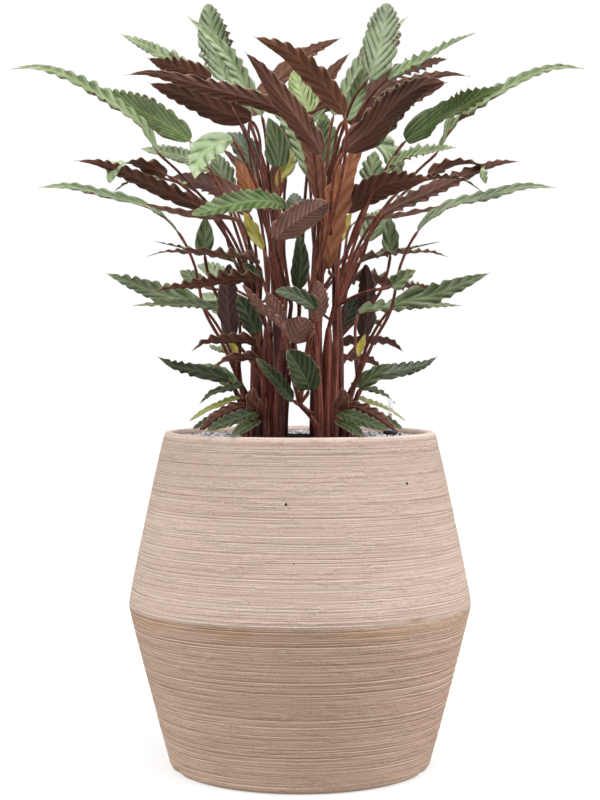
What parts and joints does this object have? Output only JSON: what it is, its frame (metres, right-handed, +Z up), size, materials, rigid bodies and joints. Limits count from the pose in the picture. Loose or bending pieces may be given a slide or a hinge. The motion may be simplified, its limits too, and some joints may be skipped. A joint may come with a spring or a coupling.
{
  "type": "potted wavestar calathea",
  "caption": "Free-standing potted foliage plant: long wavy leaves, green above and purple below, on leafy shoots in a tall two-cone planter with soil, mulch and a water gauge.",
  "frame": {"origin": "middle of the planter's flat underside, on the surface it stands on", "axes": "+Z up along the planter's axis, -Y towards the front, where the picture was taken from, +X to the right as seen from the front"},
  "size_m": [0.7161, 0.51, 0.9568],
  "materials": {
    "cast_stone": "matte",
    "potting_soil": "matte",
    "chips": "matte",
    "clear_plastic": "gloss",
    "float_plastic": "satin",
    "cap_plastic": "satin",
    "leaf_green": "satin",
    "leaf_purple": "satin"
  },
  "bodies": {
    "root": {"planter": "cast_stone", "soil": "potting_soil", "mulch": "chips", "gauge_tube": "clear_plastic", "gauge_float": "float_plastic", "gauge_cap": "cap_plastic", "shoot_tall_left": "leaf_green", "shoot_tall_right": "leaf_green", "shoot_high_left": "leaf_purple", "shoot_high_right": "leaf_purple", "shoot_crown_left": "leaf_green", "shoot_crown_right": "leaf_green", "shoot_reach_left": "leaf_purple", "shoot_reach_right": "leaf_purple", "shoot_arch_left": "leaf_purple", "shoot_arch_right": "leaf_purple", "shoot_inner_left": "leaf_green", "shoot_inner_right": "leaf_green", "shoot_middle_left": "leaf_green", "shoot_middle_right": "leaf_green", "shoot_long_left": "leaf_purple", "shoot_long_right": "leaf_purple", "shoot_outer_left": "leaf_green", "shoot_outer_right": "leaf_green", "shoot_side_left": "leaf_green", "shoot_side_right": "leaf_green", "shoot_low_left": "leaf_purple", "shoot_low_right": "leaf_purple", "shoot_foot_left": "leaf_green", "shoot_foot_right": "leaf_green", "shoot_skirt_left": "leaf_green", "shoot_skirt_right": "leaf_green", "shoot_back_a": "leaf_green", "shoot_back_b": "leaf_green", "shoot_back_c": "leaf_green", "shoot_front": "leaf_green", "shoot_right_big": "leaf_purple", "shoot_centre_top": "leaf_green", "shoot_centre_low": "leaf_purple"}
  },
  "joints": []
}
